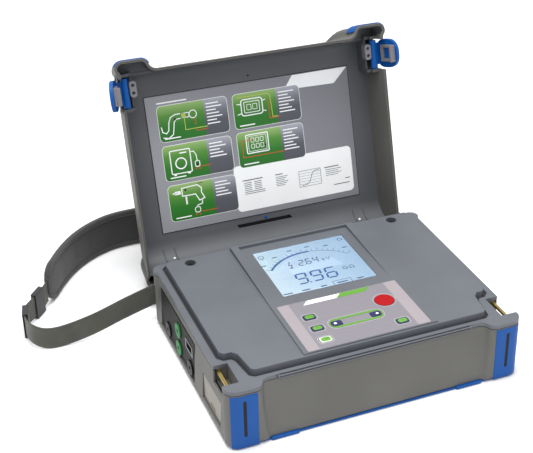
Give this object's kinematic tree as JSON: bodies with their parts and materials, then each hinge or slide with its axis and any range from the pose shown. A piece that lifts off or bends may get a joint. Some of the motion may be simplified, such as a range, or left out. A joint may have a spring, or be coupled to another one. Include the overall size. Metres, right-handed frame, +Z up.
{
  "type": "insulation resistance tester",
  "caption": "Portable high-voltage insulation tester in a hinged carry case, with a display and keypad deck, side terminals, latches and a padded strap.",
  "frame": {"origin": "centre of the case's width and of its depth between the lid's back wall and the front bumpers, on the plane of the feet", "axes": "+X towards the right side, +Y towards the hinge, +Z up; the lid is drawn open"},
  "size_m": [0.4596, 0.4115, 0.2616],
  "materials": {
    "shell": "moulded, fine texture",
    "shell_inner": "moulded, fine texture",
    "deck": "moulded, fine texture",
    "seal": "matt",
    "bumper": "satin thermoplastic elastomer",
    "window": "clear",
    "lcd": "back-lit liquid crystal",
    "light_guide": "frosted",
    "overlay": "printed polyester, fine hexagon pattern",
    "key_green": "embossed polyester",
    "key_navy": "embossed polyester",
    "key_red": "embossed polyester",
    "frame_light": "moulded",
    "circuit_board": "solder mask",
    "chips": "epoxy",
    "potting": "potted",
    "winding": "enamelled copper and laminations",
    "shield": "folded sheet",
    "holder": "moulded",
    "cell": "sleeved",
    "contact": "spring plate",
    "steel": "bright",
    "dark_steel": "blackened",
    "brass": "turned",
    "panel_black": "moulded",
    "socket_black": "moulded",
    "socket_green": "moulded",
    "port": "pressed shell",
    "door": "moulded",
    "latch_grey": "moulded",
    "label": "printed sheet",
    "webbing": "woven",
    "pad": "padded"
  },
  "bodies": {
    "case": {"base_shell": "shell", "rim_frame": "deck", "top_deck": "deck", "rim_gasket": "seal", "display_bezel": "deck", "display_window": "window", "lcd_panel": "lcd", "lcd_backlight": "light_guide", "keypad_overlay": "overlay", "cursor_ring": "key_green", "key_switch_board": "circuit_board", "display_frame": "frame_light", "main_board": "circuit_board", "board_components": "chips", "buzzer": "chips", "hv_module": "potting", "hv_transformer": "winding", "mains_supply_module": "shield", "battery_holder": "holder", "battery_cells": "cell", "battery_contacts": "contact", "battery_cover": "shell", "battery_cover_screws": "steel", "terminal_panel": "panel_black", "test_sockets": "socket_black", "guard_sockets": "socket_green", "comm_port": "port", "mains_inlet": "socket_black", "side_door_pin": "steel", "bumper_front_left": "bumper", "bumper_front_right": "bumper", "bumper_rear_left": "bumper", "bumper_rear_right": "bumper", "bottom_skids": "bumper", "deck_screws": "dark_steel", "striker_bars": "brass", "hinge_pins": "steel", "strap_anchors": "holder", "strap_webbing_left": "webbing", "strap_webbing_right": "webbing", "strap_pad": "pad", "strap_sliders": "holder"},
    "test_key": {"test_key": "key_red"},
    "menu_key": {"menu_key": "key_green"},
    "select_key": {"select_key": "key_green"},
    "light_key": {"light_key": "key_green"},
    "memory_key": {"memory_key": "key_green"},
    "cursor_left_key": {"cursor_left_key": "key_navy"},
    "cursor_right_key": {"cursor_right_key": "key_navy"},
    "side_door": {"side_door": "door"},
    "lid": {"lid_shell": "shell_inner", "lid_liner": "shell_inner", "lid_label": "label", "lid_bumpers": "bumper", "hinge_arms": "latch_grey", "latch_brackets": "latch_grey"},
    "latch_left": {"latch_lever_left": "bumper", "latch_catch_left": "latch_grey"},
    "latch_right": {"latch_lever_right": "bumper", "latch_catch_right": "latch_grey"}
  },
  "joints": [
    {"name": "lid_hinge", "type": "hinge", "parent": "case", "child": "lid", "pos_m": [0, 0.1137, 0.0391], "axis": [1, 0, 0], "range_deg": [0, 105.5]},
    {"name": "latch_left_pivot", "type": "hinge", "parent": "lid", "child": "latch_left", "pos_m": [-0.1435, 0.20728, 0.2235], "axis": [0, 0.2672, 0.9636], "range_deg": [0, 20]},
    {"name": "latch_right_pivot", "type": "hinge", "parent": "lid", "child": "latch_right", "pos_m": [0.1435, 0.20728, 0.2235], "axis": [0, -0.2672, -0.9636], "range_deg": [0, 20]},
    {"name": "side_door_hinge", "type": "hinge", "parent": "case", "child": "side_door", "pos_m": [-0.15, -0.073, 0.036], "axis": [0, 1, 0], "range_deg": [0, 95]},
    {"name": "test_key_press", "type": "slide", "parent": "case", "child": "test_key", "axis": [0, 0, -1], "range_m": [0, 0.0008], "stiffness_N_per_m": 600},
    {"name": "menu_key_press", "type": "slide", "parent": "case", "child": "menu_key", "axis": [0, 0, -1], "range_m": [0, 0.0008], "stiffness_N_per_m": 400},
    {"name": "select_key_press", "type": "slide", "parent": "case", "child": "select_key", "axis": [0, 0, -1], "range_m": [0, 0.0008], "stiffness_N_per_m": 400},
    {"name": "light_key_press", "type": "slide", "parent": "case", "child": "light_key", "axis": [0, 0, -1], "range_m": [0, 0.0008], "stiffness_N_per_m": 400},
    {"name": "memory_key_press", "type": "slide", "parent": "case", "child": "memory_key", "axis": [0, 0, -1], "range_m": [0, 0.0008], "stiffness_N_per_m": 400},
    {"name": "cursor_left_key_press", "type": "slide", "parent": "case", "child": "cursor_left_key", "axis": [0, 0, -1], "range_m": [0, 0.0008], "stiffness_N_per_m": 400},
    {"name": "cursor_right_key_press", "type": "slide", "parent": "case", "child": "cursor_right_key", "axis": [0, 0, -1], "range_m": [0, 0.0008], "stiffness_N_per_m": 400}
  ]
}
